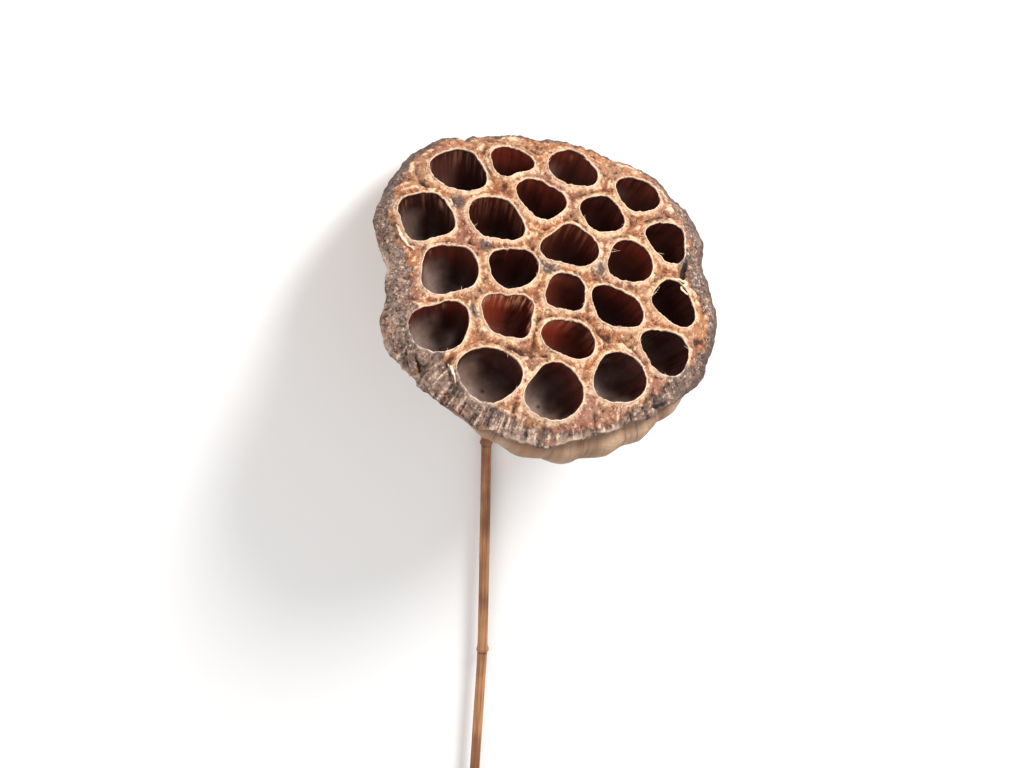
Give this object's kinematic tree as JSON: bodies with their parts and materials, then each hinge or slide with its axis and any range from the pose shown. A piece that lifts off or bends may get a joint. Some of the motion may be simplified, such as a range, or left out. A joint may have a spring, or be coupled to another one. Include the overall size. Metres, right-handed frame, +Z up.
{
  "type": "dried lotus pod",
  "caption": "Dried lotus seed pod with a wide pitted face, thin raised lips round the empty cells and a ribbed bowl-shaped wall, lying on its bent cane stem.",
  "frame": {"origin": "centre of the bounding box at its bottom, on the surface that the part lies on", "axes": "+X runs from the cut end of the stem to the pod, +Y is to the left of that, +Z is up; the pod's face looks forward and up, towards +X and +Z"},
  "size_m": [0.3022, 0.0976, 0.0813],
  "materials": {
    "pod": "matt, dry and papery, wrinkled, with darker and glossier cell walls",
    "stem": "satin, smooth skin of a dried cane with fine lengthwise streaks"
  },
  "bodies": {
    "root": {"pod": "pod", "stem": "stem"}
  },
  "joints": []
}
